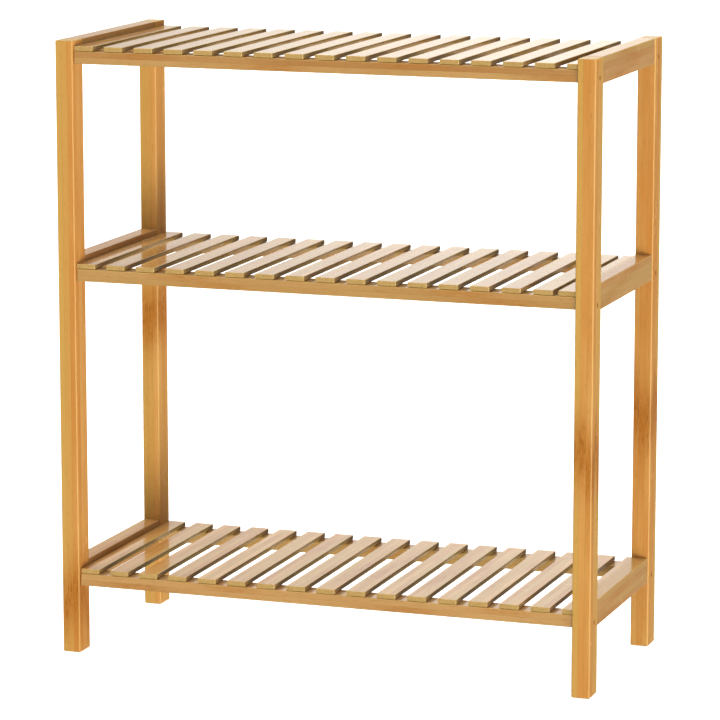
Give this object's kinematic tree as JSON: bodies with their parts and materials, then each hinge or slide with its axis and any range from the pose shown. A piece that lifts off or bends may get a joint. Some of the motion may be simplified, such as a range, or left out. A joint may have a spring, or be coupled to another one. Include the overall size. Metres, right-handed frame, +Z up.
{
  "type": "slatted shelf rack",
  "caption": "Free-standing bathroom rack of lacquered bamboo: two side ladders of posts and rails joined by slatted shelves, for towels and bottles.",
  "frame": {"origin": "on the floor, under the middle of the rack's outer box", "axes": "+Z up along the legs; -Y the front; +X to the right as seen from the front, along the long rails"},
  "size_m": [0.6, 0.26, 0.672],
  "materials": {
    "legs": "honey-coloured laminated bamboo, clear gloss lacquer",
    "rails": "honey-coloured laminated bamboo, clear gloss lacquer",
    "slats": "paler bamboo strip, clear gloss lacquer",
    "screws": "bronzed steel"
  },
  "bodies": {
    "root": {"leg_front_left": "legs", "leg_back_left": "legs", "leg_front_right": "legs", "leg_back_right": "legs", "side_rail_top_left": "rails", "side_rail_top_right": "rails", "shelf_frame_top": "rails", "slat_top_02": "slats", "slat_top_03": "slats", "slat_top_05": "slats", "slat_top_06": "slats", "slat_top_08": "slats", "slat_top_09": "slats", "slat_top_10": "slats", "slat_top_12": "slats", "slat_top_13": "slats", "slat_top_15": "slats", "slat_top_16": "slats", "screw_top_front_left": "screws", "screw_top_back_left": "screws", "screw_top_front_right": "screws", "screw_top_back_right": "screws", "side_rail_middle_left": "rails", "side_rail_middle_right": "rails", "shelf_frame_middle": "rails", "slat_middle_02": "slats", "slat_middle_03": "slats", "slat_middle_05": "slats", "slat_middle_06": "slats", "slat_middle_08": "slats", "slat_middle_09": "slats", "slat_middle_10": "slats", "slat_middle_12": "slats", "slat_middle_13": "slats", "slat_middle_15": "slats", "slat_middle_16": "slats", "screw_middle_front_left": "screws", "screw_middle_back_left": "screws", "screw_middle_front_right": "screws", "screw_middle_back_right": "screws", "side_rail_bottom_left": "rails", "side_rail_bottom_right": "rails", "shelf_frame_bottom": "rails", "slat_bottom_02": "slats", "slat_bottom_03": "slats", "slat_bottom_05": "slats", "slat_bottom_06": "slats", "slat_bottom_08": "slats", "slat_bottom_09": "slats", "slat_bottom_10": "slats", "slat_bottom_12": "slats", "slat_bottom_13": "slats", "slat_bottom_15": "slats", "slat_bottom_16": "slats", "screw_bottom_front_left": "screws", "screw_bottom_back_left": "screws", "screw_bottom_front_right": "screws", "screw_bottom_back_right": "screws"}
  },
  "joints": []
}
